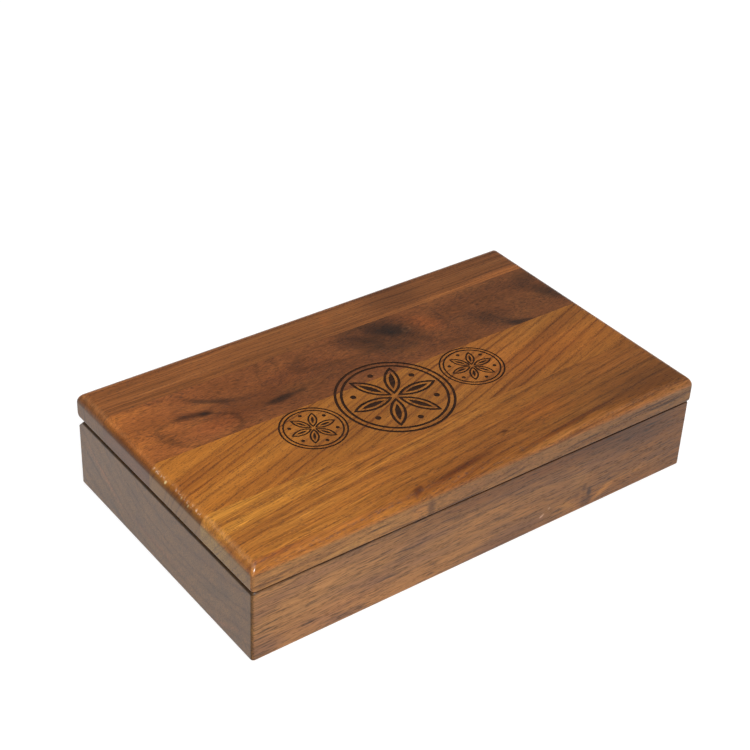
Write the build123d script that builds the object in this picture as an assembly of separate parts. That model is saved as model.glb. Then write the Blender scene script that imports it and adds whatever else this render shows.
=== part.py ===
from build123d import *
import os

# Storage box for papers and keepsakes: a body milled from one walnut block, and a slab lid of four
# edge glued walnut boards on two small brass butt hinges.
# Millimetres. X runs along the front from left to right, Y from front to back and Z up.
# The origin is on the surface that the box stands on, under the middle of the body.

# Body block and its pocket
body_length = 305.0
body_depth = 180.6
body_height = 46.0
wall_thickness = 12.7
floor_thickness = 8.0
pocket_corner_radius = 9.5
pocket_floor_radius = 3.0
pocket_rim_bevel = 0.6

# Lid slab and the gap that it keeps above the body
lid_thickness = 16.3
lid_gap = 1.0
lid_overhang_front = 0.7
lid_overhang_end = 0.5
rear_board_width = 31.0
knotty_board_width = 50.6
golden_board_width = 51.4

# Routed and sanded edges
lid_top_round = 6.35
lid_rear_round = 4.0
body_rear_chamfer = 5.5
front_easing = 0.7
end_easing = 1.8
base_easing = 1.2
upright_easing = 1.8

# Butt hinges, set in the groove along the back
hinge_length = 30.0
hinge_end_distance = 60.0
hinge_axis_inset = 3.3
barrel_diameter = 4.0
pin_diameter = 2.0
leaf_thickness = 1.2
leaf_pocket_margin = 1.4
leaf_gap = 0.2
knuckle_gap = 0.2
barrel_relief = 0.3
mortise_play = 0.1
pin_running_clearance = 0.05
pin_fixed_clearance = 0.02

# Countersunk slotted screws, two in each leaf
screw_spacing = 20.0
screw_length = 9.0
screw_shank_diameter = 2.0
screw_head_diameter = 3.8
screw_head_height = 0.9
screw_point_length = 1.6
screw_slot_width = 0.5
screw_slot_depth = 0.4
screw_play = 0.05

# Round bumpers on the front corners of the rim
bumper_diameter = 8.0
bumper_end_distance = 16.0
bumper_easing = 0.3
bumper_play = 0.05

# Places that follow from the sizes above
lid_length = body_length + 2 * lid_overhang_end
lid_depth = body_depth + lid_overhang_front
lid_bottom = body_height + lid_gap
rear_face = body_depth / 2
axis_y = rear_face - hinge_axis_inset
axis_z = body_height + lid_gap / 2
hinge_places = (-body_length / 2 + hinge_end_distance, body_length / 2 - hinge_end_distance)
hinge_names = ("left", "right")
leaf_front = rear_face - wall_thickness + leaf_pocket_margin
screw_y = (leaf_front + rear_face - body_rear_chamfer) / 2
knuckle_length = (hinge_length - 2 * knuckle_gap) / 3


def routed_section(width, height, corners):
    """Rectangle standing on its base line, with each listed corner rounded or bevelled."""
    section = Pos(0, height / 2) * Rectangle(width, height)
    for side, level, cut, size in corners:
        corner = Vector(side * width / 2, level * height, 0)
        section = cut(section.vertices().sort_by_distance(corner)[0], size)
    return section


def routed_block(length, depth, height, side_corners, end_corners):
    """Block on Z = 0 that follows its side section, its end section and its plan."""
    along = extrude(Plane.YZ * routed_section(depth, height, side_corners), length / 2, both=True)
    across = extrude(Plane.XZ * routed_section(length, height, end_corners), depth / 2, both=True)
    plan = extrude(RectangleRounded(length, depth, upright_easing), height)
    return along & across & plan


def block_between(x_range, y_range, z_range):
    """Plain block between two limits on each axis."""
    sizes = [high - low for low, high in (x_range, y_range, z_range)]
    middle = [(high + low) / 2 for low, high in (x_range, y_range, z_range)]
    return Pos(*middle) * Box(*sizes)


def hinge_rod(radius, length, x):
    """Cylinder about the hinge axis, centred on x."""
    return Pos(x, axis_y, axis_z) * Rot(0, 90, 0) * Cylinder(radius, length)


def knuckle_middles(hinge_x):
    """Middles of the three knuckles of a hinge: left, centre and right."""
    pitch = knuckle_length + knuckle_gap
    return [hinge_x + step * pitch for step in (-1, 0, 1)]


def screw_turning(play):
    """Screw shape about Z with its head's face at Z = 0, grown by the play all round."""
    head = screw_head_diameter / 2 + play
    shank = screw_shank_diameter / 2 + play
    end = screw_length + play
    outline = Polyline(
        (0, 0),
        (head, 0),
        (shank, -screw_head_height),
        (shank, screw_point_length - end),
        (0, -end),
        close=True,
    )
    return revolve(Plane.XZ * make_face(outline), Axis.Z)


def screw_solid():
    slot = Box(2 * screw_head_diameter, screw_slot_width, 2 * screw_slot_depth)
    return screw_turning(0) - slot


def screw_seats(hinge_x, side):
    """Where the two screws of a leaf sit: side -1 is the body's leaf, side 1 the lid's leaf."""
    face = axis_z + side * leaf_gap / 2
    turn = 180 if side > 0 else 0
    return [Pos(hinge_x + step * screw_spacing / 2, screw_y, face) * Rot(turn, 0, 0) for step in (-1, 1)]


def leaf_levels(side):
    """Bottom and top of a leaf's plate."""
    near = axis_z + side * leaf_gap / 2
    far = near + side * leaf_thickness
    return (min(near, far), max(near, far))


def hinge_leaf(hinge_x, side):
    """One leaf. The body's leaf carries the two outer knuckles, the lid's leaf the centre one."""
    knuckles = knuckle_middles(hinge_x)
    own = knuckles[::2] if side < 0 else knuckles[1:2]
    bore = pin_diameter / 2 + (pin_fixed_clearance if side < 0 else pin_running_clearance)
    plate_rear = axis_y - barrel_diameter / 2 - barrel_relief
    ends = (hinge_x - hinge_length / 2, hinge_x + hinge_length / 2)
    leaf = block_between(ends, (leaf_front, plate_rear), leaf_levels(side))
    for middle in own:
        knuckle_ends = (middle - knuckle_length / 2, middle + knuckle_length / 2)
        leaf += block_between(knuckle_ends, (leaf_front, axis_y), leaf_levels(side))
        leaf += hinge_rod(barrel_diameter / 2, knuckle_length, middle)
    leaf -= hinge_rod(bore, 2 * hinge_length, hinge_x)
    for seat in screw_seats(hinge_x, side):
        leaf -= seat * screw_turning(screw_play)
    return leaf


def hinge_recess(hinge_x, side):
    """What a hinge takes out of the wood: the leaf's mortise, the barrel's relief and screw holes."""
    half = hinge_length / 2 + mortise_play
    ends = (hinge_x - half, hinge_x + half)
    low, high = leaf_levels(side)
    recess = block_between(ends, (leaf_front - mortise_play, axis_y), (low, high))
    relief_length = hinge_length + 2 * barrel_relief
    recess += hinge_rod(barrel_diameter / 2 + barrel_relief, relief_length, hinge_x)
    for seat in screw_seats(hinge_x, side):
        recess += seat * screw_turning(screw_play)
    return recess


def box_body():
    """The block, its pocket with a bevelled rim, and the hinge recesses in the rear wall."""
    side_corners = (
        (-1, 0, fillet, base_easing),
        (1, 0, fillet, base_easing),
        (1, 1, chamfer, body_rear_chamfer),
        (-1, 1, fillet, front_easing),
    )
    end_corners = (
        (-1, 0, fillet, base_easing),
        (1, 0, fillet, base_easing),
        (1, 1, fillet, end_easing),
        (-1, 1, fillet, end_easing),
    )
    body = routed_block(body_length, body_depth, body_height, side_corners, end_corners)
    pocket_length = body_length - 2 * wall_thickness
    pocket_depth = body_depth - 2 * wall_thickness
    pocket_plan = RectangleRounded(pocket_length, pocket_depth, pocket_corner_radius)
    pocket = extrude(pocket_plan, body_height - floor_thickness)
    pocket = fillet(pocket.faces().sort_by(Axis.Z)[0].edges(), pocket_floor_radius)
    body -= Pos(0, 0, floor_thickness) * pocket
    rim = body.faces().sort_by(Axis.Z)[-1].inner_wires()[0]
    body = chamfer(rim.edges(), pocket_rim_bevel)
    for hinge_x in hinge_places:
        body -= hinge_recess(hinge_x, -1)
    return body


def lid_slab():
    """The glued slab before it is told apart into boards, with the hinge recesses under its rear edge."""
    side_corners = (
        (-1, 0, fillet, front_easing),
        (1, 0, fillet, lid_rear_round),
        (1, 1, fillet, lid_top_round),
        (-1, 1, fillet, lid_top_round),
    )
    end_corners = (
        (-1, 0, fillet, end_easing),
        (1, 0, fillet, end_easing),
        (1, 1, fillet, lid_top_round),
        (-1, 1, fillet, lid_top_round),
    )
    slab = routed_block(lid_length, lid_depth, lid_thickness, side_corners, end_corners)
    slab = Pos(0, rear_face - lid_depth / 2, lid_bottom) * slab
    for hinge_x in hinge_places:
        slab -= hinge_recess(hinge_x, 1)
    return slab


def lid_boards():
    """The four boards of the slab from the back to the front, by name."""
    rear_joint = rear_face - rear_board_width
    middle_joint = rear_joint - knotty_board_width
    front_joint = middle_joint - golden_board_width
    front_edge = rear_face - lid_depth
    limits = (
        ("rear", rear_joint, rear_face),
        ("knotty", middle_joint, rear_joint),
        ("golden", front_joint, middle_joint),
        ("front", front_edge, front_joint),
    )
    slab = lid_slab()
    half = lid_length / 2
    levels = (lid_bottom, lid_bottom + lid_thickness)
    boards = {}
    for name, low, high in limits:
        boards["lid_board_" + name] = slab & block_between((-half, half), (low, high), levels)
    return boards


def rim_bumpers():
    """Two low discs on the rim's front corners that the closed lid rests on."""
    thickness = lid_gap - bumper_play
    disc = extrude(Circle(bumper_diameter / 2), thickness)
    disc = fillet(disc.faces().sort_by(Axis.Z)[-1].edges(), bumper_easing)
    x = body_length / 2 - bumper_end_distance
    y = -body_depth / 2 + wall_thickness / 2
    return Compound(children=[Pos(side * x, y, body_height) * disc for side in (-1, 1)])


def hinge_parts(name, hinge_x):
    """All pieces of one hinge, by node name."""
    return {
        name + "_hinge_body_leaf": hinge_leaf(hinge_x, -1),
        name + "_hinge_lid_leaf": hinge_leaf(hinge_x, 1),
        name + "_hinge_pin": hinge_rod(pin_diameter / 2, hinge_length, hinge_x),
        name + "_hinge_body_screws": screw_pair(hinge_x, -1),
        name + "_hinge_lid_screws": screw_pair(hinge_x, 1),
    }


def screw_pair(hinge_x, side):
    return Compound(children=[seat * screw_solid() for seat in screw_seats(hinge_x, side)])


nodes = {"box_body": box_body()}
nodes.update(lid_boards())
for hinge_name, hinge_place in zip(hinge_names, hinge_places):
    nodes.update(hinge_parts(hinge_name, hinge_place))
nodes["rim_bumpers"] = rim_bumpers()

os.makedirs("parts", exist_ok=True)
for node_name, shape in nodes.items():
    export_step(shape, "parts/" + node_name + ".step")
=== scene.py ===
import math
from collections import namedtuple
from functools import partial

import bmesh
import bpy
from mathutils import Euler, Matrix, Vector


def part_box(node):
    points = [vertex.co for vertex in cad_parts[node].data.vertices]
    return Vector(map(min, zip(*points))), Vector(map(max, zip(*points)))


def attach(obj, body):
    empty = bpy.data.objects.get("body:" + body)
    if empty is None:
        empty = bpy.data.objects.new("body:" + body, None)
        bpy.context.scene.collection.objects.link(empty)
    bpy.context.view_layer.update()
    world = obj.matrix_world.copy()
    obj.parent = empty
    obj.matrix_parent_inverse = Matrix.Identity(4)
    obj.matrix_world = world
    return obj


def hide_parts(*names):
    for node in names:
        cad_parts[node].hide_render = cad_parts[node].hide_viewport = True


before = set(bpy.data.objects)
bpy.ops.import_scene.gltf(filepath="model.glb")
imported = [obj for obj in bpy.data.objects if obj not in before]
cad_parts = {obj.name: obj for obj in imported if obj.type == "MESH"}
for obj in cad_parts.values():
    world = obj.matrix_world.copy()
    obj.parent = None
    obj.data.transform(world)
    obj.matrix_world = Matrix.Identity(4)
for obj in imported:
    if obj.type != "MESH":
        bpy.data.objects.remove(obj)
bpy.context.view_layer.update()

mm = 0.001

# Box body
# One solid block of black walnut, planed to 46 mm from a thick plank, with a pocket milled out of it.
# Its long sides show lengthwise grain and its ends show the growth rings. It has satin oil on it.
block_low, block_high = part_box("box_body")
wall = 12.7 * mm
pocket_floor = 8.0 * mm
pocket_corner = 9.5 * mm
pocket_hollow = 3.0 * mm
rim_bevel = 0.6 * mm
front_easing = 0.7 * mm
end_easing = 1.8 * mm
base_easing = 1.2 * mm
upright_easing = 1.8 * mm
rear_chamfer = 5.5 * mm
edge_strip = 0.35 * mm  # Flat beside a rounded edge, which keeps the edge's shading off the face
sharp_angle = math.radians(28)


def colour_of(hex_text):
    """sRGB hex to the linear colour that a socket holds."""
    parts = [int(hex_text[i:i + 2], 16) / 255 for i in (0, 2, 4)]
    return [p / 12.92 if p <= 0.04045 else ((p + 0.055) / 1.055) ** 2.4 for p in parts] + [1.0]


def add_node(tree, kind, inputs=(), stops=(), **settings):
    """Adds a node. An input is a value to hold, or what to link: a socket, or a node's first output."""
    node = tree.nodes.new(kind)
    for key, value in settings.items():
        setattr(node, key, value)
    for key, value in inputs.items() if isinstance(inputs, dict) else enumerate(inputs):
        value = value.outputs[0] if isinstance(value, bpy.types.Node) else value
        if isinstance(value, bpy.types.NodeSocket):
            tree.links.new(value, node.inputs[key])
        else:
            node.inputs[key].default_value = value
    for i, (place, shade) in enumerate(stops):
        marks = node.color_ramp.elements
        mark = marks[i] if i < len(marks) else marks.new(place)
        mark.position = place
        mark.color = colour_of(shade) if isinstance(shade, str) else (shade, shade, shade, 1)
    return node


def new_material(name):
    """An empty material, and the function that adds a node to it."""
    material = bpy.data.materials.new(name)
    material.use_nodes = True
    material.node_tree.nodes.clear()
    return material, partial(add_node, material.node_tree)


def to_mesh(form, name, *finishes):
    """Makes a mesh out of a form that has been built up, and lets go of the form."""
    mesh = bpy.data.meshes.new(name)
    form.to_mesh(mesh)
    form.free()
    for finish in finishes:
        mesh.materials.append(finish)
    return mesh


def new_piece(name, mesh):
    piece = bpy.data.objects.new(name, mesh)
    bpy.context.scene.collection.objects.link(piece)
    return piece


def settle(piece):
    """Turns what a piece's modifiers make into its own plain mesh."""
    graph = bpy.context.evaluated_depsgraph_get()
    made = bpy.data.meshes.new_from_object(piece.evaluated_get(graph), depsgraph=graph)
    piece.modifiers.clear()
    piece.data = made


def cut(piece, tool_mesh):
    """Cuts a tool's shape out of a piece. The cut faces keep the tool's material."""
    tool = new_piece("tool", tool_mesh)
    step = piece.modifiers.new("cut", "BOOLEAN")
    step.solver = "EXACT"
    step.material_mode = "TRANSFER"
    step.object = tool
    settle(piece)
    bpy.data.objects.remove(tool)


def sand(piece):
    """Shades rounded edges as smooth and keeps flat faces flat and sharp edges sharp."""
    for face in piece.data.polygons:
        face.use_smooth = True
    piece.data.set_sharp_from_angle(angle=sharp_angle)
    piece.modifiers.new("flats", "WEIGHTED_NORMAL").keep_sharp = True
    settle(piece)


def round_inset(depth, radius):
    """How far a rounded edge stands back, at a depth from the face that it meets."""
    return 0.0 if depth >= radius else radius - math.sqrt(radius ** 2 - (radius - depth) ** 2)


def round_depths(radius, steps):
    """Depths at even turns of a rounded edge, and one on the flat just past it."""
    turns = [math.pi / 2 * step / steps for step in range(steps + 1)]
    return [radius * (1 - math.cos(turn)) for turn in turns] + [radius + edge_strip]


def loft(name, levels, *finishes, steps=8):
    """Closed mesh through rounded rectangles from the bottom up: (z, left, right, front, back, radius)."""
    form = bmesh.new()
    rows = []
    for z, left, right, front, back, radius in levels:
        row = []
        for k in range(4 * steps):
            quarter, step = divmod(k, steps)
            x = left + radius if quarter in (1, 2) else right - radius
            y = front + radius if quarter > 1 else back - radius
            turn = math.pi / 2 * (quarter + step / (steps - 1))
            row.append(form.verts.new((x + radius * math.cos(turn), y + radius * math.sin(turn), z)))
        rows.append(row)
    for low, high in zip(rows, rows[1:]):
        for k in range(4 * steps):
            form.faces.new((low[k - 1], low[k], high[k], high[k - 1]))
    form.faces.new(rows[0][::-1])
    form.faces.new(rows[-1])
    return to_mesh(form, name, *finishes)


def hinge_seats(part, side, finish):
    """Tools for the hinges' recesses in the wood: mortise, room for the barrel, and screw holes.

    Side is -1 for the body, whose mortises open upwards, and 1 for the lid, whose open downwards.
    """
    play = 0.1 * mm
    leaf_depth = 1.3 * mm
    leaf_clear = 3 * mm
    barrel_room = 2.3 * mm
    screw_room = 1.05 * mm
    forms = []
    for hand in ("left", "right"):
        low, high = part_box(hand + "_hinge_" + part + "_leaf")
        pin_low, pin_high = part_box(hand + "_hinge_pin")
        axis = (pin_low + pin_high) / 2
        deep = axis.z + side * leaf_depth
        levels = sorted((deep, deep - side * leaf_clear))
        forms.append(bmesh.new())
        bmesh.ops.create_cube(forms[-1], size=1.0, matrix=Matrix.LocRotScale(
            ((low.x + high.x) / 2, (low.y - play + axis.y) / 2, sum(levels) / 2), None,
            (high.x - low.x + 2 * play, axis.y - low.y + play, levels[1] - levels[0])))
        forms.append(bmesh.new())
        bmesh.ops.create_cone(
            forms[-1], cap_ends=True, segments=48, radius1=barrel_room, radius2=barrel_room,
            depth=pin_high.x - pin_low.x + 0.6 * mm,
            matrix=Matrix.Translation(axis) @ Matrix.Rotation(math.pi / 2, 4, "Y"))
    for hand in ("left", "right"):
        low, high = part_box(hand + "_hinge_" + part + "_screws")
        radius = (high.y - low.y) / 2
        for x in (low.x + radius, high.x - radius):
            forms.append(bmesh.new())
            bmesh.ops.create_cone(
                forms[-1], cap_ends=True, segments=24, radius1=screw_room, radius2=screw_room,
                depth=high.z - low.z + play,
                matrix=Matrix.Translation((x, (low.y + high.y) / 2, (low.z + high.z) / 2)))
    return [to_mesh(form, "seat", finish) for form in forms]


# A patch of another tint in the wood: an ellipsoid that fades out over the share `edge` of its reach, or
# the shell of one, where ring gives its place and reach. Its middle and half axes are in mm, its turns in
# degrees. A gain over 1 makes it paler than the wood. A fixed one doesn't follow the grain's sway.
Patch = namedtuple("Patch", "at size colour amount edge ring gain turn tilt roll fixed",
                   defaults=(0.9, None, 1.0, 0, 0, 0, False))


def walnut(name, seed, heart, ring, sway, wander, band, late_wood, ring_colour, ring_depth, ground, streak,
           fibre, pore, end_grain_and_sheen_colour, patches, turn=0.0, dive=0.0, knots=(), streak_size=(80, 2.2),
           fibre_size=(30, 0.6), dash=0.0, pore_size=(2.6, 0.6, 0.6), end_band=0.3, end_rings=None, soak=1.0,
           soak_from=0.6, painted_sheen_colour="ffffff", painted_sheen_gain=1.0, wear_and_sheen=0.15, scuffs_and_glints=0.0):
    """Oiled black walnut: growth rings about a heart line, fibres along it, and open pores.

    On the long faces the rings show as lines and arches, with dark dashes where pores are cut
    lengthwise. On the ends they show as arcs. It is a solid pattern in millimetres, so it runs
    through rounded edges as in real wood. Real pores are 0.15 mm wide; these are 0.55 to 0.6 mm, to
    show. The oil's satin sheen is dim, more so where the end grain soaked it up.
    """
    material, node = new_material(name)
    unturn = Euler((0, 0, -math.radians(turn))).to_matrix()
    spot = node("ShaderNodeTexCoord").outputs
    plain = node("ShaderNodeVectorMath", {0: spot["Object"], "Scale": 1 / mm}, operation="SCALE")
    grain = node("ShaderNodeMapping", {
        "Vector": plain, "Rotation": (0, math.radians(dive), -math.radians(turn))})
    facing = node("ShaderNodeSeparateXYZ", [spot["Normal"]]).outputs
    end = node("ShaderNodeMath", [facing["X"]], operation="ABSOLUTE")

    # Sway of the trunk, then a finer wander of the fibres: how far, and how long and wide the waves are
    for (reach, along, across), shift in ((sway, seed), (wander, -seed)):
        stretch = node("ShaderNodeMapping", {
            "Vector": grain, "Location": (shift, shift, shift), "Scale": (1 / along, 1 / across, 1 / across)})
        cloud = node("ShaderNodeTexNoise", {"Vector": stretch, "Scale": 1.0, "Detail": 1.5})
        offset = node("ShaderNodeVectorMath", [cloud.outputs["Color"], (0.5, 0.5, 0.5)], operation="SUBTRACT")
        grain = node("ShaderNodeVectorMath", [offset, (0.3 * reach, 2 * reach, 2 * reach), grain],
                     operation="MULTIPLY_ADD")

    # Distance from the heart line, lifted round each knot
    spoke = node("ShaderNodeMapping", {
        "Vector": grain, "Location": (0, -heart[0], -heart[1]), "Scale": (0, 1, 1)})
    radius = node("ShaderNodeVectorMath", [spoke], operation="LENGTH").outputs["Value"]
    knot_cores = []
    for at, knot_turn, size, lift, core, dark in knots:
        local = node("ShaderNodeMapping", {
            "Vector": grain, "Location": unturn @ Vector(at), "Rotation": (0, 0, math.radians(knot_turn)),
            "Scale": size}, vector_type="TEXTURE")
        near = node("ShaderNodeTexGradient", [local], gradient_type="SPHERICAL").outputs["Fac"]
        swell = node("ShaderNodeMapRange", [near, 0, 1, 0, lift], interpolation_type="SMOOTHSTEP")
        radius = node("ShaderNodeMath", [radius, swell], operation="ADD")
        knot_cores.append(node("ShaderNodeMapRange", [near, 1 - core, 1, 0, dark],
                               interpolation_type="SMOOTHSTEP"))

    # Broad bands of colour, streaks and fine fibres, all drawn out along the grain
    clouds = []
    for (along, across), detail in ((band, 2.0), (streak_size, 3.0), (fibre_size, 3.0)):
        stretch = node("ShaderNodeMapping", {
            "Vector": grain, "Location": (seed, -seed, across), "Scale": (1 / along, 1 / across, 1 / across)})
        clouds.append(node("ShaderNodeTexNoise", {
            "Vector": stretch, "Scale": 1.0, "Detail": detail, "Roughness": 0.6}))
    bands, streaks, fibres = clouds
    ragged = node("ShaderNodeMath", [streaks, bands], operation="ADD")

    # Growth rings of uneven width, each with a tone of its own
    slow = node("ShaderNodeMath", [radius, 0.31 / ring], operation="MULTIPLY")
    uneven = node("ShaderNodeTexNoise", {"W": slow, "Scale": 1.0, "Detail": 1.0}, noise_dimensions="1D")
    years = node("ShaderNodeMath", [radius, 1 / ring], operation="MULTIPLY")
    years = node("ShaderNodeMath", [uneven, 2.4, years], operation="MULTIPLY_ADD")
    season = node("ShaderNodeMath", [years], operation="FRACT")
    year = node("ShaderNodeMath", [years], operation="FLOOR")
    tone = node("ShaderNodeTexWhiteNoise", {"W": year}, noise_dimensions="1D")
    late = node("ShaderNodeValToRGB", [season], late_wood)
    for factor in (node("ShaderNodeMath", [tone, 0.9, 0.45], operation="MULTIPLY_ADD"),
                   node("ShaderNodeMapRange", [streaks, 0.3, 0.7, 1.35, 0.45])):
        late = node("ShaderNodeMath", [late, factor], operation="MULTIPLY")

    # Pores, most of them open where a ring begins, and small on the ends
    stretch = node("ShaderNodeMapping", {
        "Vector": grain, "Location": (seed, seed, seed), "Scale": [1 / width for width in pore_size]})
    cell = node("ShaderNodeTexVoronoi", {"Vector": stretch, "Scale": 1.0})
    porous = node("ShaderNodeValToRGB", [season], (
        (0.0, 1.0), (0.14, 0.8), (0.3, 0.2), (0.88, 0.2), (1.0, 1.0)))
    chosen = node("ShaderNodeMath", [porous, node("ShaderNodeSeparateColor", [cell.outputs["Color"]])],
                  operation="GREATER_THAN")
    pores = node("ShaderNodeMapRange", [cell, 0.2, 0.55, 1, 0])
    for factor in (chosen, node("ShaderNodeMapRange", [end, 0.3, 0.9, 1, 0.3])):
        pores = node("ShaderNodeMath", [pores, factor], operation="MULTIPLY")

    # Tints over the ground tone: the patches, then sawn ends, partly end grain colour and partly painted
    # grey sheen, oil soaked into the turn of the ends, a painted sheen on upright faces, and late wood
    tints = []
    for at, size, shade, strength, edge, shell, gain, *angles, fixed in patches:
        space, middle = (plain, at) if fixed else (grain, unturn @ Vector(at))
        local = node("ShaderNodeMapping", {
            "Vector": space, "Scale": size, "Location": middle,
            "Rotation": [math.radians(angle) for angle in reversed(angles)]}, vector_type="TEXTURE")
        near = node("ShaderNodeTexGradient", [local], gradient_type="SPHERICAL").outputs["Fac"]
        near = node("ShaderNodeMath", [near, node("ShaderNodeMapRange", [ragged, 0.7, 1.3, 0.7, 1.3])],
                    operation="MULTIPLY")
        place, solid, fade = (shell[0], 0.0, shell[1]) if shell else (1.0, 1 - edge, 1.0)
        off = node("ShaderNodeMath", [near, place], operation="SUBTRACT")
        off = node("ShaderNodeMath", [off], operation="ABSOLUTE")
        tints.append((node("ShaderNodeMapRange", [off, solid, fade, strength, 0],
                           interpolation_type="SMOOTHSTEP"), shade, gain))
    # Sawn ends: end grain colour with a painted grey sheen in it
    sawn = node("ShaderNodeMapRange", [end, 0.96, 1.0, 0, 1], interpolation_type="SMOOTHSTEP")
    soaked = node("ShaderNodeValToRGB", [end], ((soak_from, 0.0), (0.93, 1.0), (0.985, 1.0), (1.0, 0.0)))
    soaked = node("ShaderNodeMath", [soaked, soak], operation="MULTIPLY")
    # Where the painted sheen goes: upright long faces, not the ends
    upright = node("ShaderNodeMath", [facing["Z"]], operation="ABSOLUTE")
    upright = node("ShaderNodeMapRange", [upright, 0.243, 0.063, 0, 1], interpolation_type="SMOOTHSTEP")
    upright = node("ShaderNodeMath", [upright, node("ShaderNodeMapRange", [end, 0.8, 0.96, 1, 0])],
                   operation="MULTIPLY")
    depth = node("ShaderNodeMapRange", [end, 0.9, 1.0, ring_depth, end_rings or ring_depth])
    depth = node("ShaderNodeMath", [late, depth], operation="MULTIPLY", use_clamp=True)
    tints += [(sawn, end_grain_and_sheen_colour, 1.0), (soaked, "a8a884", 1.0), (upright, painted_sheen_colour, painted_sheen_gain),
              (depth, ring_colour, 1.0)]
    flat = node("ShaderNodeMapRange", [end, 0.9, 1.0, 1, end_band])
    even = node("ShaderNodeMath", [bands, 0.5], operation="SUBTRACT")
    even = node("ShaderNodeMath", [even, flat, 0.5], operation="MULTIPLY_ADD")
    colour = node("ShaderNodeValToRGB", [even], ground)
    for amount, shade, gain in tints:
        colour = node("ShaderNodeMix", {
            0: amount, 6: colour, 7: [gain * part for part in colour_of(shade)]},
            data_type="RGBA", blend_type="MULTIPLY").outputs[2]

    # Painted shade: thin dark lines along both sides of the gap under the lid, where the gap lies in
    # shade, round all but the hinged side, and no deeper than the skin, which begins at one distance from
    # the middle for the ends and, with the shift, for the front
    gap_middle, skin, front_shift = 46.5, 150.2, 62.0
    place = node("ShaderNodeVectorMath", [plain], operation="ABSOLUTE")
    place = node("ShaderNodeSeparateXYZ", [place]).outputs
    off = node("ShaderNodeMath", [place["Z"], gap_middle], operation="SUBTRACT")
    slack = node("ShaderNodeMapRange", [place["X"], skin, skin + 1, 0, -0.9])
    below = node("ShaderNodeMath", [off, -1.0, slack], operation="MULTIPLY_ADD")
    off = node("ShaderNodeMath", [off, below], operation="MAXIMUM")
    rim = node("ShaderNodeMath", [place["Y"], front_shift], operation="ADD")
    rim = node("ShaderNodeMath", [place["X"], rim], operation="MAXIMUM")
    painted_gap_shade = node("ShaderNodeMath", [
        node("ShaderNodeMapRange", [off, 0.55, 1.3, 1, 0]),
        node("ShaderNodeMapRange", [rim, skin, skin + 0.8, 0, 0.72])], operation="MULTIPLY")

    # How light or dark each of these makes the wood
    light = node("ShaderNodeMapRange", [streaks, 0.2, 0.8, 1 - streak, 1 + streak])
    for source, *limits in (
            (fibres, 0.2, 0.8, 1 - fibre, 1 + fibre), (pores, 0, 1, 1, 1 - pore),
            # the painted shade of the gap darkens the wood along it
            (fibres, 0.36, 0.46, 1 - dash, 1), (painted_gap_shade, 0, 1, 1, 0),
            *((knot_core, 0, 1, 1, 0.12) for knot_core in knot_cores)):
        light = node("ShaderNodeMath", [light, node("ShaderNodeMapRange", [source, *limits])],
                     operation="MULTIPLY")
    colour = node("ShaderNodeVectorMath", {0: colour, "Scale": light}, operation="SCALE")

    # Paler tan on the rounded ends, partly sanding wear and partly painted sheen, and above the left one a
    # broken line of scuffs, partly wear and partly painted glints
    rub = node("ShaderNodeTexNoise", {"Vector": plain, "Scale": 0.5, "Detail": 4.0, "Roughness": 0.7})
    for stops, ranges, shade in (
            (((0.2, 0.0), (0.55, 1.0), (0.9, 0.0)),
             ((facing["Z"], 0.1, 0.3, 0, 1), (rub, 0.4, 0.62, 0.3 * wear_and_sheen, wear_and_sheen)), "d8a878"),
            (((0.5, 0.0), (0.64, 1.0), (0.8, 0.0)),
             ((rub, 0.53, 0.66, 0, scuffs_and_glints), (facing["X"], 0, 1, 1, 0)), "f0d8c0")):
        tan_and_sheen = node("ShaderNodeValToRGB", [end], stops)
        for source, *limits in ranges:
            tan_and_sheen = node("ShaderNodeMath", [tan_and_sheen, node("ShaderNodeMapRange", [source, *limits])],
                        operation="MULTIPLY")
        colour = node("ShaderNodeMix", {0: tan_and_sheen, 6: colour, 7: colour_of(shade)}, data_type="RGBA").outputs[2]

    # Satin oil: dull in the pores and on end grain, and sanded nearly matt on the far edges
    rough = node("ShaderNodeMapRange", [pores, 0, 1, 0.3, 0.65])
    relief = node("ShaderNodeMath", [
        fibres, 0.4, node("ShaderNodeMath", [pores, -1.0], operation="MULTIPLY")], operation="MULTIPLY_ADD")
    bump = node("ShaderNodeBump", {"Height": relief, "Distance": 0.05 * mm, "Strength": 0.5})
    away = node("ShaderNodeMath", [facing["X"], facing["Y"]], operation="MAXIMUM")
    shine = node("ShaderNodeMath", [
        node("ShaderNodeMapRange", [soaked, 0, 1, 0.3, 0.14]),
        node("ShaderNodeMapRange", [away, 0.1, 0.5, 1, 0.2])], operation="MULTIPLY")
    oil = node("ShaderNodeBsdfPrincipled", {
        "Base Color": colour, "Roughness": rough, "IOR": 1.5, "Specular IOR Level": shine, "Normal": bump})
    node("ShaderNodeOutputMaterial", [oil])
    return material


def body_levels():
    """Outer form of the block: eased foot, upright sides, and a rim eased in front and chamfered behind."""
    height = block_high.z
    depths = [rear_chamfer, rear_chamfer + edge_strip]
    for easing in (front_easing, end_easing):
        depths += round_depths(easing, 6)
    for z in sorted(set(round_depths(base_easing, 5) + [height - depth for depth in depths])):
        foot = round_inset(z, base_easing)
        end = foot + round_inset(height - z, end_easing)
        front = foot + round_inset(height - z, front_easing)
        back = foot + max(0.0, rear_chamfer - (height - z))
        yield (z, block_low.x + end, block_high.x - end,
               block_low.y + front, block_high.y - back, upright_easing)


def pocket_levels():
    """The pocket: hollow where floor and walls meet, upright walls, and the bevel round its rim."""
    steps = [(pocket_floor + d, wall + round_inset(d, pocket_hollow)) for d in round_depths(pocket_hollow, 6)]
    steps += [(block_high.z - rim_bevel, wall), (block_high.z, wall - rim_bevel),
              (block_high.z + mm, wall - rim_bevel)]
    for z, inset in steps:
        yield (z, block_low.x + inset, block_high.x - inset, block_low.y + inset, block_high.y - inset,
               pocket_corner - inset + wall)


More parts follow.
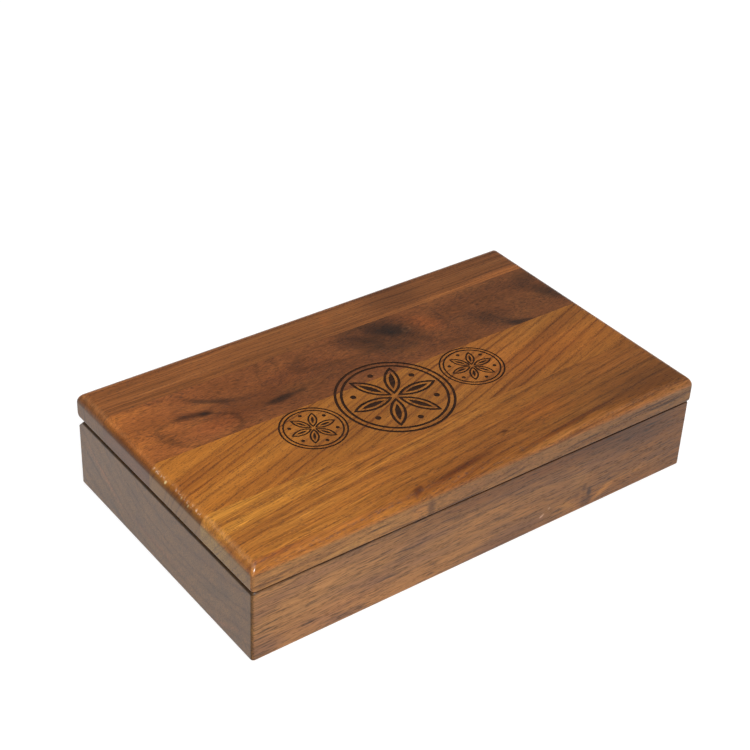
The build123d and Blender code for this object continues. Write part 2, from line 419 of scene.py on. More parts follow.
block_walnut = walnut(
    "oiled walnut plank", seed=3.7, dive=1.2, heart=(-30, 190), ring=9, sway=(4, 150, 60),
    wander=(1.2, 30, 9), band=(70, 12), ring_colour="b8a8a0", ring_depth=0.4,
    late_wood=((0.0, 1.0), (0.1, 0.5), (0.3, 0.1), (0.75, 0.12), (0.9, 0.5), (1.0, 1.0)),
    ground=((0.32, "805636"), (0.5, "966636"), (0.66, "a06c38")), streak=0.24, streak_size=(50, 2),
    fibre=0.52, fibre_size=(14, 0.6), dash=0.55, pore=0.4, pore_size=(4, 0.6, 0.6), end_grain_and_sheen_colour="babcae",
    end_band=0.6, end_rings=0.65, soak_from=0.25, knots=(((78, -90, 12), 0, (30, 30, 22), 14, 0.05, 0.3),),
    patches=(
        # Painted shade: the plank is made darker towards its right end, where the light falls off
        Patch((180, -90, 20), (300, 120, 120), "c0aa6c", 0.9, edge=1),
        Patch((-100, -90.3, 10), (75, 30, 12), "fff8f4", 0.9, gain=1.12, fixed=True),
        Patch((30, -90, 46), (160, 30, 18), "bcaea0", 0.9),
        Patch((110, -90, 40), (60, 30, 18), "b0a4a0", 0.8, tilt=8),
        Patch((20, -90, 2), (40, 30, 7), "b4a094", 0.5),
        # A small knot on the front, between paler arcs
        Patch((78.5, -90.3, 11), (3, 20, 6), "7c6c74", 0.9),
        Patch((74.2, -90.3, 15.5), (3.4, 20, 3.6), "8c7c7c", 0.75),
        Patch((76, -90.3, 4), (7, 20, 6), "b0a4a0", 0.8),
        Patch((69, -90.3, 12.5), (4, 20, 4), "b0a4a0", 0.6),
        Patch((70, -90.3, 23), (12, 30, 9), "f4fcff", 1, gain=1.4),
        Patch((89, -90.3, 7), (13, 30, 3), "f8fcf4", 1, gain=1.7, tilt=-26, fixed=True),
        Patch((116, -90.3, 11.5), (34, 30, 4), "f8fcf4", 1, gain=1.45, tilt=-5, fixed=True),
        Patch((61, -90.3, 8), (13, 30, 3.6), "f8fcf4", 1, gain=1.4, tilt=24, fixed=True),
        # Paler and darker rings on the left end
        Patch((-152.5, 58, 20.8), (6, 24, 2.6), "fff0f0", 1, gain=1.3, roll=29, fixed=True),
        Patch((-152.5, 76, 30), (6, 22, 2.4), "fff4f0", 0.8, gain=1.22, roll=32, fixed=True),
        Patch((-152.5, 73, 22.4), (6, 20, 2), "c4c0c0", 0.7, roll=29, fixed=True),
        Patch((-152.5, 46, 4), (6, 20, 3.4), "b8b8b8", 0.9, roll=26, fixed=True),
        Patch((-152.5, 6, 12), (6, 50, 3.4), "fff0f4", 0.7, gain=1.15, roll=2, fixed=True),
        Patch((-152.5, -62, 5), (6, 34, 2.4), "fff0f4", 0.8, gain=1.22, roll=-24, fixed=True),
        Patch((-152.5, -58, 24), (6, 30, 5), "d4d8cc", 0.6, roll=-24, fixed=True),
        # A pale scratch
        Patch((42.5, -90.3, 8.6), (2.6, 3, 1.1), "9cb4ff", 1, edge=0.6, gain=6, tilt=-32, fixed=True),
        Patch((47.6, -90.3, 12), (1.4, 3, 0.9), "9cb4ff", 1, edge=0.8, gain=5, tilt=-32, fixed=True),
    ))
block = new_piece("walnut_block", loft("block", body_levels(), block_walnut))
cut(block, loft("pocket", pocket_levels(), block_walnut))
for seat in hinge_seats("body", -1, block_walnut):
    cut(block, seat)
sand(block)
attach(block, "box")
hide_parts("box_body")

# Rim bumpers
# Two clear polyurethane pads, 8 mm across, stuck on the front corners of the rim. The lid closes on
# them, which keeps the gap even.
bumper_rubber, node = new_material("clear polyurethane rubber")
# Water clear and a little cloudy, so it takes the brown of the wood under it. It is drawn as a thin pale
# film with alpha, because under one millimetre the bending of light in it doesn't show.
spot = node("ShaderNodeTexCoord")
cloud = node("ShaderNodeTexNoise", {"Vector": spot.outputs["Object"], "Scale": 600.0, "Detail": 2.0})
rough = node("ShaderNodeMapRange", [cloud, 0.3, 0.7, 0.12, 0.3])
gel = node("ShaderNodeBsdfPrincipled", {
    "Base Color": colour_of("dcdad2"), "Roughness": rough, "IOR": 1.5, "Alpha": 0.16})
node("ShaderNodeOutputMaterial", [gel])
bumper_sides = 48
low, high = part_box("rim_bumpers")
bumper_radius = (high.y - low.y) / 2
bumper_levels = [(low.z, bumper_radius)]
bumper_levels += [(high.z - depth, bumper_radius - 0.4 * round_inset(depth, high.z - low.z))
                  for depth in reversed(round_depths(0.9 * (high.z - low.z), 6)[:-1])]
form = bmesh.new()
for x in (low.x + bumper_radius, high.x - bumper_radius):
    rows = []
    for z, r in bumper_levels:
        turns = [math.tau * k / bumper_sides for k in range(bumper_sides)]
        rows.append([form.verts.new((x + r * math.cos(turn), (low.y + high.y) / 2 + r * math.sin(turn), z))
                     for turn in turns])
    for lower, upper in zip(rows, rows[1:]):
        for k in range(bumper_sides):
            form.faces.new((lower[k - 1], lower[k], upper[k], upper[k - 1]))
    form.faces.new(rows[0][::-1])
    form.faces.new(rows[-1])
bumpers = new_piece("corner_bumpers", to_mesh(form, "bumpers", bumper_rubber))
sand(bumpers)
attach(bumpers, "box")
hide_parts("rim_bumpers")

# Hinges
# Two small butt hinges of rolled brass sheet, 30 mm long, let flush into the rear edges. Each has
# three knuckles on a brass pin, and its leaves are die cut and brushed along their length.
brushed_brass, node = new_material("brushed brass sheet")
# Warm yellow metal with fine lines lengthwise, dulled in small clouds where it was handled.
spot = node("ShaderNodeTexCoord").outputs["Object"]
lines = node("ShaderNodeTexNoise", {
    "Vector": node("ShaderNodeMapping", {"Vector": spot, "Scale": (120, 5000, 5000)}),
    "Scale": 1.0, "Detail": 2.0})
haze = node("ShaderNodeTexNoise", {"Vector": spot, "Scale": 140.0, "Detail": 3.0})
tarnish = node("ShaderNodeValToRGB", [haze], ((0.35, "c79a4e"), (0.55, "d9b062"), (0.75, "e2bd74")))
gloss = node("ShaderNodeMapRange", [lines, 0.3, 0.7, 0.24, 0.42])
brushed = node("ShaderNodeBump", {"Height": lines, "Distance": 0.01 * mm, "Strength": 0.5})
brass = node("ShaderNodeBsdfPrincipled", {
    "Base Color": tarnish, "Metallic": 1.0, "Roughness": gloss, "Normal": brushed})
node("ShaderNodeOutputMaterial", [brass])
for side in ("left", "right"):
    for part in ("body_leaf", "lid_leaf", "pin"):
        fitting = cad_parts[side + "_hinge_" + part]
        for holder in fitting.material_slots:
            holder.material = brushed_brass

# Hinge screws
# Slotted countersunk brass wood screws, 2 mm by 9 mm, two in each leaf, turned on a lathe and driven
# by hand, so that no two slots line up.
turned_brass, node = new_material("turned brass")
# Brighter than the sheet, in small clouds of tarnish.
spot = node("ShaderNodeTexCoord").outputs["Object"]
haze = node("ShaderNodeTexNoise", {"Vector": spot, "Scale": 900.0, "Detail": 2.0})
tarnish = node("ShaderNodeValToRGB", [haze], ((0.35, "bd9048"), (0.65, "dfb868")))
gloss = node("ShaderNodeMapRange", [haze, 0.3, 0.7, 0.2, 0.34])
brass = node("ShaderNodeBsdfPrincipled", {"Base Color": tarnish, "Metallic": 1.0, "Roughness": gloss})
node("ShaderNodeOutputMaterial", [brass])


def screw_mesh(length, head_radius, shank_radius, head_height, point_length):
    """One screw about Z, its head's face at Z = 0 and its point down, with the slot cut across it."""
    profile = (
        (head_radius - 0.12 * mm, 0.0),
        (head_radius, -0.08 * mm),
        (shank_radius, -head_height),
        (shank_radius, point_length - length),
        (0.12 * mm, -length),
    )
    sides = 40
    form = bmesh.new()
    rows = [[form.verts.new((r * math.cos(math.tau * k / sides), r * math.sin(math.tau * k / sides), z))
             for k in range(sides)] for r, z in profile]
    for upper, lower in zip(rows, rows[1:]):
        for k in range(sides):
            form.faces.new((upper[k - 1], lower[k - 1], lower[k], upper[k]))
    form.faces.new(rows[0])
    form.faces.new(rows[-1][::-1])
    screw = new_piece("screw", to_mesh(form, "screw"))
    form = bmesh.new()
    bmesh.ops.create_cube(form, size=1.0, matrix=Matrix.Diagonal((8 * mm, 0.5 * mm, 0.8 * mm, 1)))
    cut(screw, to_mesh(form, "slot"))
    return screw


def screw_setting():
    """Geometry Nodes: sets one screw at each seat, flips it if asked, and turns its slot at random."""
    tree = bpy.data.node_groups.new("set screws", "GeometryNodeTree")
    node = partial(add_node, tree)
    for title, kind in (("Seats", "Geometry"), ("Screw", "Object"), ("Flip", "Float"), ("Seed", "Int"),
                        ("Finish", "Material")):
        tree.interface.new_socket(title, in_out="INPUT", socket_type="NodeSocket" + kind)
    tree.interface.new_socket("Screws", in_out="OUTPUT", socket_type="NodeSocketGeometry")
    given = node("NodeGroupInput").outputs
    shape = node("GeometryNodeObjectInfo", {"Object": given["Screw"]}).outputs["Geometry"]
    slot_turn = node("FunctionNodeRandomValue", {2: 0.0, 3: math.pi, "Seed": given["Seed"]},
                         data_type="FLOAT").outputs[1]
    turning = node("ShaderNodeCombineXYZ", {"X": given["Flip"], "Z": slot_turn})
    seated = node("GeometryNodeInstanceOnPoints", {
        "Points": given["Seats"], "Instance": shape,
        "Rotation": node("FunctionNodeEulerToRotation", [turning])})
    whole = node("GeometryNodeRealizeInstances", [seated])
    finished = node("GeometryNodeSetMaterial", {"Geometry": whole, "Material": given["Finish"]})
    node("NodeGroupOutput", [finished])
    return tree


def run_tree(piece, tree, values):
    """Runs a Geometry Nodes tree on a piece, with its inputs by name, and keeps the plain result."""
    step = piece.modifiers.new("nodes", "NODES")
    step.node_group = tree
    for item in tree.interface.items_tree:
        if item.in_out == "INPUT" and item.name in values:
            step[item.identifier] = values[item.name]
    settle(piece)


setting = screw_setting()
low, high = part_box("left_hinge_body_screws")
screw = screw_mesh(high.z - low.z, (high.y - low.y) / 2, mm, 0.9 * mm, 1.6 * mm)
for body, part, flip, seed in (("box", "body_screws", 0.0, 4), ("lid", "lid_screws", math.pi, 9)):
    seats = bpy.data.meshes.new("seats")
    places = []
    for side in ("left", "right"):
        low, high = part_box(side + "_hinge_" + part)
        radius = (high.y - low.y) / 2
        z = low.z if flip else high.z
        places += [(x, (low.y + high.y) / 2, z) for x in (low.x + radius, high.x - radius)]
    seats.from_pydata(places, [], [])
    screws = new_piece("hinge_" + part, seats)
    run_tree(screws, setting, {"Screw": screw, "Flip": flip, "Seed": seed, "Finish": turned_brass})
    sand(screws)
    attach(screws, body)
    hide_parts("left_hinge_" + part, "right_hinge_" + part)
bpy.data.objects.remove(screw)

# Carved rosettes
# Three compass drawn six petal rosettes in a row, cut 0.4 mm into the top of the lid by a laser,
# which leaves the bottoms of the cuts burnt dark brown.
carving_middle = (-5.0 * mm, -11.0 * mm)
carving_depth = 0.4 * mm
carving_rise = 0.6 * mm
lid_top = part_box("lid_board_golden")[1].z
burnt_walnut, node = new_material("laser burnt walnut")
# Dull, nearly black brown, with the wood's fibres still showing as fine lines.
spot = node("ShaderNodeTexCoord").outputs["Object"]
char = node("ShaderNodeTexNoise", {
    "Vector": node("ShaderNodeMapping", {"Vector": spot, "Scale": (60, 1200, 1200)}),
    "Scale": 1.0, "Detail": 3.0})
soot = node("ShaderNodeValToRGB", [char], ((0.3, "22120a"), (0.55, "341d0f"), (0.8, "4c2e18")))
ridges = node("ShaderNodeBump", {"Height": char, "Distance": 0.08 * mm, "Strength": 0.7})
burnt = node("ShaderNodeBsdfPrincipled", {
    "Base Color": soot, "Roughness": 0.85, "Specular IOR Level": 0.1, "Normal": ridges})
node("ShaderNodeOutputMaterial", [burnt])


def petal_outline(length, width, inset, steps=14):
    """Pointed oval along X between two equal arcs, drawn in by an inset."""
    arc = (length ** 2 + width ** 2) / (4 * width)
    offset = arc - width / 2
    radius = arc - inset
    half = math.acos(offset / radius)
    turns = [half * (1 - 2 * k / steps) for k in range(steps)]
    return [(sign * radius * math.sin(turn), sign * (radius * math.cos(turn) - offset))
            for sign in (1, -1) for turn in turns]


def petal_mesh(length, width, line):
    """Tool for one petal: its outline as a band, and a slim chip inside it."""
    form = bmesh.new()
    levels = (-carving_depth, carving_rise)
    loops = [petal_outline(length, width, inset) for inset in (0.0, line, 1.9 * line)]
    outer, inner, chip = [[[form.verts.new((x, y, z)) for x, y in loop] for z in levels] for loop in loops]
    for k in range(len(loops[0])):
        for lower, upper in (outer, inner, chip):
            form.faces.new((lower[k - 1], lower[k], upper[k], upper[k - 1]))
        for a, b in zip(outer, inner):
            form.faces.new((a[k - 1], a[k], b[k], b[k - 1]))
    for level in chip:
        form.faces.new(level)
    bmesh.ops.recalc_face_normals(form, faces=form.faces)
    return to_mesh(form, "petal")


def rosette_setting():
    """Geometry Nodes: petals and dots about a middle, two rings round them, set at each given point."""
    tree = bpy.data.node_groups.new("set rosettes", "GeometryNodeTree")
    node = partial(add_node, tree)
    for title, kind in (
            ("Middles", "Geometry"), ("Petal", "Object"), ("Petals", "Int"), ("Petal place", "Float"),
            ("Dot place", "Float"), ("Dot radius", "Float"), ("Ring radius", "Float"),
            ("Line", "Float"), ("Depth", "Float"), ("Finish", "Material")):
        tree.interface.new_socket(title, in_out="INPUT", socket_type="NodeSocket" + kind)
    tree.interface.new_socket("Cuts", in_out="OUTPUT", socket_type="NodeSocketGeometry")
    given = node("NodeGroupInput").outputs
    at = node("GeometryNodeInputPosition")
    outward = node("FunctionNodeAlignRotationToVector", {"Vector": at}, axis="X")
    petal = node("GeometryNodeObjectInfo", {"Object": given["Petal"]}).outputs["Geometry"]
    spots = node("GeometryNodeMeshCircle", {"Vertices": given["Petals"], "Radius": given["Petal place"]})
    petals = node("GeometryNodeInstanceOnPoints", {"Points": spots, "Instance": petal, "Rotation": outward})
    height = node("ShaderNodeMath", [given["Depth"], carving_rise], operation="ADD")
    lift = node("ShaderNodeMath", [given["Depth"], -0.5, carving_rise / 2], operation="MULTIPLY_ADD")
    rise = node("ShaderNodeCombineXYZ", {"Z": lift})
    between = node("GeometryNodeMeshCircle", {"Vertices": given["Petals"], "Radius": given["Dot place"]})
    between = node("GeometryNodeTransform", {
        "Geometry": between, "Translation": rise, "Rotation": Euler((0, 0, math.radians(30)))})
    dot = node("GeometryNodeMeshCylinder", {
        "Vertices": 20, "Radius": given["Dot radius"], "Depth": height})
    dots = node("GeometryNodeInstanceOnPoints", {"Points": between, "Instance": dot.outputs["Mesh"]})
    profile = node("GeometryNodeCurvePrimitiveQuadrilateral", {
        "Width": given["Line"], "Height": height})
    rings = []
    for steps in (0.0, -2.2):
        size = node("ShaderNodeMath", [given["Line"], steps, given["Ring radius"]], operation="MULTIPLY_ADD")
        hoop = node("GeometryNodeCurvePrimitiveCircle", {"Resolution": 96, "Radius": size})
        band = node("GeometryNodeCurveToMesh", {"Curve": hoop, "Profile Curve": profile})
        rings.append(node("GeometryNodeTransform", {"Geometry": band, "Translation": rise}))
    one = node("GeometryNodeJoinGeometry")
    for shape in (petals, dots, *rings):
        tree.links.new(shape.outputs[0], one.inputs[0])
    cuts = node("GeometryNodeInstanceOnPoints", {"Points": given["Middles"], "Instance": one})
    whole = node("GeometryNodeRealizeInstances", [cuts])
    finished = node("GeometryNodeSetMaterial", {"Geometry": whole, "Material": given["Finish"]})
    node("NodeGroupOutput", [finished])
    return tree


def carving_tools():
    """The carving as two tools that stand through the top of the lid: the middle rosette and its pair."""
    setting = rosette_setting()
    tools = []
    for steps, length, width, ring, line in (((0,), 27.0 * mm, 9.6 * mm, 34.0 * mm, 1.6 * mm),
                                             ((-56, 56), 13.6 * mm, 5.6 * mm, 19.0 * mm, 1.05 * mm)):
        petal = new_piece("petal", petal_mesh(length, width, line))
        middles = bpy.data.meshes.new("middles")
        x, y = carving_middle
        middles.from_pydata([(x + step * mm, y, lid_top) for step in steps], [], [])
        carving = new_piece("carving", middles)
        run_tree(carving, setting, {
            "Petal": petal, "Petals": 6, "Petal place": 0.57 * length, "Dot place": 0.7 * ring,
            "Dot radius": 1.1 * line, "Ring radius": ring, "Line": line, "Depth": carving_depth,
            "Finish": burnt_walnut})
        tools.append(carving.data)
        bpy.data.objects.remove(petal)
        bpy.data.objects.remove(carving)
    return tools


rosettes = carving_tools()

# Lid slab
# Four walnut boards glued edge to edge, planed together to 16.3 mm, then rounded over along the top
# with a 6.35 mm router bit and eased by hand with sandpaper, most at the corners.
top_round = 6.35 * mm
rear_under_round = 4.0 * mm
lid_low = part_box("lid_board_front")[0]
lid_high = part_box("lid_board_rear")[1]


def lid_levels():
    """Outer form of the slab: eased below, rounded under its rear edge and all along its top."""
    down = [lid_high.z - depth for depth in round_depths(top_round, 12)]
    up = [lid_low.z + depth for radius, steps in ((front_easing, 5), (end_easing, 6), (rear_under_round, 9))
          for depth in round_depths(radius, steps)]
    for z in sorted(set(up + down)):
        over = round_inset(lid_high.z - z, top_round)
        end, front, back = (over + round_inset(z - lid_low.z, radius)
                            for radius in (end_easing, front_easing, rear_under_round))
        yield (z, lid_low.x + end, lid_high.x - end, lid_low.y + front, lid_high.y - back, upright_easing)


slab = loft("slab", lid_levels())


def lid_board(name, node, finish, tools):
    """Saws a board out of the slab, between its glue joints, and cuts what is cut into it."""
    low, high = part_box(node)
    form = bmesh.new()
    form.from_mesh(slab)
    for place, facing in ((low.y, -1), (high.y, 1)):
        if lid_low.y + 0.1 * mm < place < lid_high.y - 0.1 * mm:
            sawn = bmesh.ops.bisect_plane(
                form, geom=form.verts[:] + form.edges[:] + form.faces[:], plane_co=(0, place, 0),
                plane_no=(0, facing, 0), clear_outer=True)
            edges = [item for item in sawn["geom_cut"] if isinstance(item, bmesh.types.BMEdge)]
            bmesh.ops.edgenet_fill(form, edges=edges)
    bmesh.ops.recalc_face_normals(form, faces=form.faces)
    board = new_piece(name, to_mesh(form, name, finish))
    for tool in tools:
        cut(board, tool)
    sand(board)
    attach(board, "lid")
    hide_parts(node)
    return board


# Rear board
# Quarter sawn walnut, 31 mm wide: straight, fine lines the whole length, a little wavy past the
# middle, and a paler stripe along the glue joint.
rear_walnut = walnut(
    "oiled walnut, quarter sawn", seed=11.3, heart=(260, 10), ring=2.2, sway=(2.5, 90, 40),
    wander=(0.9, 20, 6), band=(160, 6), ring_colour="90705c", ring_depth=0.5,
    late_wood=((0.0, 1.0), (0.15, 0.6), (0.4, 0.1), (0.75, 0.2), (1.0, 1.0)),
    ground=((0.3, "7c4a22"), (0.5, "8e562a"), (0.7, "9a6232")), streak=0.24, streak_size=(110, 1.5),
    fibre=0.25, pore=0.4, end_grain_and_sheen_colour="b4c096", soak=0.65,
    patches=(
        Patch((160, 60.2, 63), (170, 6, 90), "fcfcf8", 1, edge=0.6, gain=1.55, fixed=True),
        Patch((-150, 75, 63), (130, 60, 90), "fffcf8", 0.8, gain=1.25),
        Patch((-78, 61, 63), (60, 8, 90), "fffcf8", 0.9, edge=0.8, gain=1.2, fixed=True),
        Patch((130, 62, 63), (44, 5, 90), "fffcf8", 0.9, edge=0.8, gain=1.25, fixed=True),
        Patch((170, 84, 63), (150, 60, 90), "d0d0e0", 0.5),
        Patch((56, 74, 63), (32, 30, 90), "ccc8cc", 0.8),
        Patch((6, 74, 63), (9, 5, 90), "fff4e8", 0.5, gain=1.3, turn=60),
    ))
rear_board = lid_board("rear_board", "lid_board_rear", rear_walnut, hinge_seats("lid", 1, rear_walnut))

# Knotty board
# Flat sawn walnut, 51 mm wide, from beside a branch: dark and reddish, with the grain sweeping in
# loops round two knots and lying in blurred dark patches.
knotty_walnut = walnut(
    "oiled walnut, knotty", seed=7.9, dive=0.8, heart=(34, 0), ring=9, sway=(8, 60, 30),
    wander=(2, 16, 8), band=(40, 16), ring_colour="a08c80", ring_depth=0.3,
    late_wood=((0.0, 0.9), (0.15, 0.5), (0.4, 0.1), (0.75, 0.2), (1.0, 1.0)),
    ground=((0.3, "884c22"), (0.5, "98562a"), (0.7, "a4602e")), streak=0.1, fibre=0.62,
    fibre_size=(4, 0.6), dash=0.16, pore=0.4, end_grain_and_sheen_colour="a0a694", wear_and_sheen=0.1,
    knots=(((-102.5, 33.3, 63), -8, (32, 22, 60), 12, 0.2, 0.85),
           ((44, 42.3, 63), 0, (30, 18, 60), 10, 0.05, 0.6)),
    patches=(
        # The board darkens from its left end to its right end, partly its own tone and partly painted shade
        # where the light falls off
        Patch((60, 33, 63), (210, 160, 200), "ccd2da", 0.85, edge=0.5),
        Patch((140, 36, 63), (110, 90, 200), "c8d2e4", 0.5),
        Patch((-156, 30, 63), (52, 60, 60), "fcffe4", 1, gain=1.25, fixed=True),
        Patch((-30, 20, 63), (90, 16, 60), "c8c4c4", 0.5),
        # Grain that sweeps down to the left knot, and loops back below it
        Patch((-98, 47, 63), (18, 3.4, 60), "a0a8b4", 0.75, edge=0.8, turn=-41),
        Patch((-89, 41, 63), (9, 5, 60), "98a0a8", 0.7, edge=0.8, turn=-40),
        Patch((-83, 36, 63), (24, 5, 60), "a0a8b4", 0.5, edge=0.8, turn=-6),
        Patch((-109, 34.5, 63), (16, 5, 60), "a09ca0", 0.9, edge=0.8, turn=-4),
        Patch((-112, 20, 63), (34, 20, 60), "808880", 0.42, ring=(0.3, 0.12), turn=-10),
        Patch((-106, 17, 63), (26, 13, 60), "808880", 0.25, ring=(0.3, 0.1), turn=4),
        Patch((-90, 22, 63), (28, 20, 60), "b0aaa8", 0.45, turn=-24),
        Patch((-62, 32, 63), (34, 26, 60), "c0b4b4", 0.5),
        Patch((-42, 40, 63), (48, 14, 60), "fff8f0", 0.9, gain=1.18, fixed=True),
        Patch((-98, 21, 63), (26, 12, 60), "fff4ec", 0.9, gain=1.16, fixed=True),
        Patch((15, 52, 63), (24, 7, 60), "fff8f8", 0.9, gain=1.25, fixed=True),
        # Two short dark streaks
        Patch((-60, 19.5, 63), (16, 4.4, 60), "889098", 0.95, edge=0.7, turn=3),
        Patch((-44.5, 20.5, 63), (5, 2.6, 60), "98a0a8", 0.7, edge=0.7),
        # Faint ovals in the middle
        Patch((-9, 42, 63), (40, 17, 60), "98a0a0", 0.4, ring=(0.28, 0.16)),
        Patch((-52, 48, 63), (22, 10, 60), "98a0a0", 0.3, ring=(0.3, 0.14), turn=70),
        # The dark patch that ends in the right pin knot, and its paler lee
        Patch((25, 46, 63), (36, 26, 60), "aeb2bc", 0.95, edge=0.6, turn=-26),
        Patch((33, 48, 63), (21, 8, 60), "909cb4", 0.9, edge=0.8, turn=-30),
        Patch((47, 30, 63), (14, 5, 60), "a8b0bc", 0.5, edge=0.8, turn=-60),
        Patch((58, 40, 63), (19, 10, 60), "fff0e0", 0.9, gain=1.4, turn=-50),
        Patch((44, 42.3, 63), (4.6, 4.2, 60), "dce8ff", 0.9, ring=(0.45, 0.28), gain=2.2),
        # Upright arcs, dark patches and the dark right end
        Patch((52, 42, 63), (26, 26, 60), "98a0a0", 0.3, ring=(0.28, 0.07)),
        Patch((94, 24, 63), (22, 9, 60), "a8b0c0", 0.6, edge=0.8, turn=-40),
        Patch((110, 11, 63), (17, 6, 60), "8890a8", 0.9, edge=0.7, turn=-24),
        Patch((143, 49, 63), (20, 10, 60), "98a0b4", 0.6, turn=20),
        Patch((146, 28, 63), (24, 9, 60), "909cb4", 0.75, edge=0.8, turn=-55),
    ))
knotty_board = lid_board("knotty_board", "lid_board_knotty", knotty_walnut, rosettes)

# Golden board
# Flat sawn walnut from near the sapwood, 51 mm wide: golden, with its lines rising to the right.
golden_walnut = walnut(
    "oiled walnut, golden", seed=5.1, turn=18, heart=(-160, -40), ring=5, sway=(5, 160, 50),
    wander=(0.6, 30, 8), band=(220, 16), ring_colour="90603c", ring_depth=0.7,
    late_wood=((0.0, 1.0), (0.07, 0.5), (0.22, 0.1), (0.75, 0.12), (0.93, 0.5), (1.0, 1.0)),
    ground=((0.3, "985a20"), (0.5, "a86824"), (0.7, "b4742c")), streak=0.12, fibre=0.3,
    fibre_size=(10, 0.5), dash=0.15, pore=0.5, pore_size=(1.5, 0.55, 0.55), end_grain_and_sheen_colour="acc0b0", scuffs_and_glints=0.7,
    patches=(
        Patch((120, -20, 63), (260, 160, 200), "dcdcff", 0.6, edge=0.7),
        Patch((-170, -15, 63), (150, 120, 200), "fffaf0", 0.8, edge=0.8, gain=1.2),
        Patch((60, 0, 63), (60, 26, 60), "fff8f4", 0.8, gain=1.15),
        Patch((98, -22, 63), (90, 26, 60), "fff4ec", 0.9, gain=1.2, fixed=True),
        # Bright nicks in the worn edge, partly wear and partly painted glints
        Patch((-151.6, -5.7, 61), (1.6, 1.2, 1.3), "5a83ff", 1, edge=0.8, gain=24, fixed=True),
        Patch((-151.6, -21.7, 61.2), (1.5, 0.9, 1.1), "5a83ff", 1, edge=0.8, gain=20, fixed=True),
        Patch((-151.7, -28.7, 60.6), (1.5, 0.9, 1.4), "5a83ff", 1, edge=0.8, gain=20, fixed=True),
    ))
golden_board = lid_board("golden_board", "lid_board_golden", golden_walnut, rosettes)

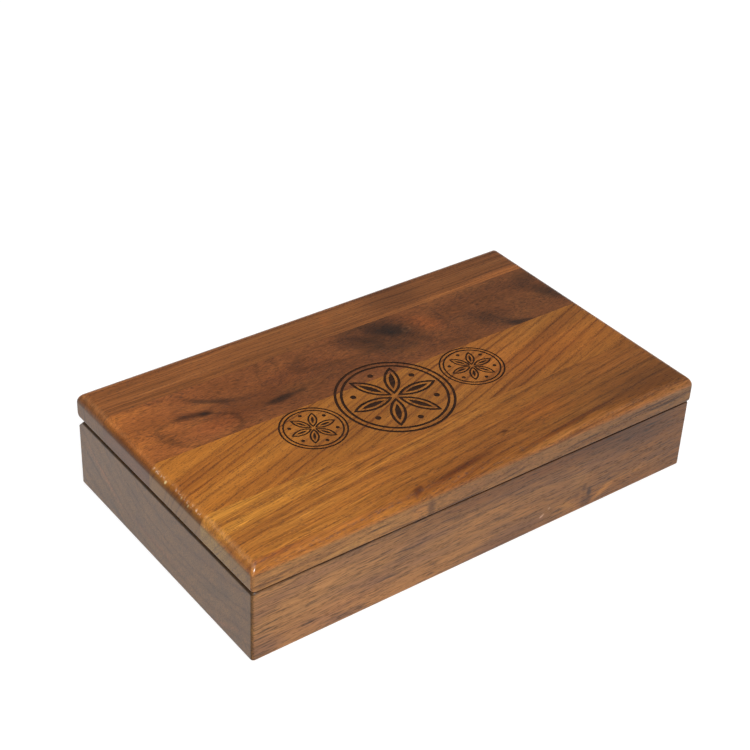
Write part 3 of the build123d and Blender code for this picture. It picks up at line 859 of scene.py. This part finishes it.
# Front board
# Flat sawn walnut, 48 mm wide: golden at its left end and browner to the right, with arched grain.
front_walnut = walnut(
    "oiled walnut, flat sawn", seed=2.4, turn=6, dive=0.6, heart=(-150, -20), ring=5.5,
    sway=(5, 140, 40), wander=(0.9, 30, 8), band=(160, 9), ring_colour="8c5e44", ring_depth=0.6,
    late_wood=((0.0, 1.0), (0.07, 0.5), (0.22, 0.1), (0.75, 0.12), (0.93, 0.5), (1.0, 1.0)),
    ground=((0.3, "985a22"), (0.5, "aa6826"), (0.7, "b8762e")), streak=0.36, streak_size=(50, 1.1),
    fibre=0.4, fibre_size=(14, 0.5), dash=0.25, pore=0.4, end_grain_and_sheen_colour="c0dcc8", soak=0.35, wear_and_sheen=0.3,
    # A pale, bluish painted sheen on the upright front face, for the light that it reflects
    painted_sheen_colour="c4d8ff", painted_sheen_gain=1.5,
    patches=(
        # Darker towards the right end, partly the wood's own tone and partly painted shade where the light
        # falls off
        Patch((170, -85, 63), (300, 130, 300), "a2a2cc", 0.85, edge=1, turn=4),
        Patch((-160, -46, 63), (130, 30, 200), "f4fff4", 1, edge=0.8, gain=1.4, fixed=True),
        Patch((-30, -84, 63), (80, 16, 30), "d0c4c0", 0.6, fixed=True),
        Patch((130, -52, 63), (50, 15, 60), "fff8f4", 0.9, gain=1.22, fixed=True),
        Patch((56, -66, 63), (30, 12, 60), "fff4ec", 0.9, gain=1.18, fixed=True),
        # The rounded front edge is made paler towards its right end; the edge has long level streaks
        Patch((132, -89.5, 60), (150, 5, 5), "c8d6ff", 1, edge=0.8, gain=2.7, fixed=True),
        Patch((110, -92, 54), (130, 4, 14), "fff4c4", 1, gain=1.1, fixed=True),
        Patch((-150, -87, 63), (70, 2.6, 20), "dccabc", 1, fixed=True),
        Patch((-78, -88.2, 65.5), (44, 2.4, 4), "d0b8a8", 1, edge=0.8, fixed=True),
        Patch((128, -82, 66), (60, 24, 6), "ccc4cc", 0.8, edge=0.8, fixed=True),
        Patch((-142, -91, 50.9), (14, 4, 0.9), "a49890", 0.8, edge=0.8),
        Patch((-75, -91, 54.2), (18, 4, 0.9), "988c84", 0.9, edge=0.8),
        Patch((-108, -91, 52), (12, 4, 1.2), "a49890", 0.6, edge=0.8),
        Patch((-62, -91, 48.9), (26, 4, 0.9), "a09488", 0.8, edge=0.8),
        Patch((-16, -91, 49.2), (28, 4, 0.9), "988c84", 1, edge=0.8, tilt=-1),
        Patch((20, -91, 50.8), (30, 4, 0.9), "988c84", 0.9, edge=0.8, tilt=-4),
        Patch((70, -91, 50.6), (34, 4, 0.9), "988c84", 0.9, edge=0.8, tilt=-3),
        Patch((115, -91, 53.6), (46, 4, 1), "988c84", 1, edge=0.8, tilt=-3),
        Patch((128, -91, 51.4), (30, 4, 1.2), "988c84", 0.9, edge=0.8, tilt=-4),
        # An upright mark on the front edge
        Patch((-40, -91, 53), (4, 5, 10), "a89c98", 0.8, edge=0.8),
        Patch((-48, -91, 53), (8, 5, 8), "fff0e0", 0.6, edge=0.8, gain=1.2),
        # Dark reddish streaks where the rounded edge begins, and a small dark fleck
        Patch((26, -71.7, 63), (4, 1.4, 20), "806c60", 0.8, edge=0.7, turn=-10),
        Patch((-46, -86, 63), (7, 3, 20), "a08070", 0.8, edge=0.8, turn=16),
        Patch((-14, -85, 63), (44, 3.6, 20), "a88878", 0.8),
        Patch((60, -86.5, 63), (70, 2.6, 20), "a88878", 0.7, turn=1),
    ))
front_board = lid_board("front_board", "lid_board_front", front_walnut, rosettes)

# Studio
# White paper, a soft lamp beside the camera and a wide one overhead, a small one that only glints on
# the rounded edges, and a dim even sky.
form = bmesh.new()
bmesh.ops.create_grid(form, x_segments=1, y_segments=1, size=8.0)
paper, node = new_material("white paper")
# Matt and glowing white, so that it stays pure white far from the lamps, with hardly a shadow on it.
glow = node("ShaderNodeEmission", {"Strength": 0.76})
matt = node("ShaderNodeBsdfDiffuse", {"Color": colour_of("a4a4a4")})
node("ShaderNodeOutputMaterial", [node("ShaderNodeAddShader", [matt, glow])])
floor = new_piece("floor", to_mesh(form, "paper", paper))

sky = bpy.data.worlds.new("sky")
bpy.context.scene.world = sky
sky.use_nodes = True
sky.node_tree.nodes["Background"].inputs["Color"].default_value = colour_of("ffffff")
sky.node_tree.nodes["Background"].inputs["Strength"].default_value = 0.26

for name, place, size, power in (
        ("softbox", (-0.5, -1.25, 1.1), 0.35, 13.0), ("overhead", (-0.2, -0.2, 4.0), 3.0, 82.0),
        ("glint", (-0.45, -1.2, 1.15), 0.24, 60.0)):
    shade = bpy.data.lights.new(name, "AREA")
    shade.shape = "DISK"
    shade.size = size
    shade.energy = power
    lamp = new_piece(name, shade)
    lamp.location = place
    lamp.rotation_euler = lamp.location.to_track_quat("Z", "Y").to_euler()
    lamp.visible_diffuse = name != "glint"

lens = bpy.data.cameras.new("camera")
lens.sensor_width = 36.0
lens.lens = 81.21
camera = new_piece("camera", lens)
camera.location = (-0.49679, -0.62222, 0.6088)
camera.rotation_euler = [math.radians(turn) for turn in (55.832, -2.271, -36.409)]
bpy.context.scene.camera = camera
bpy.context.scene.view_settings.view_transform = "Standard"
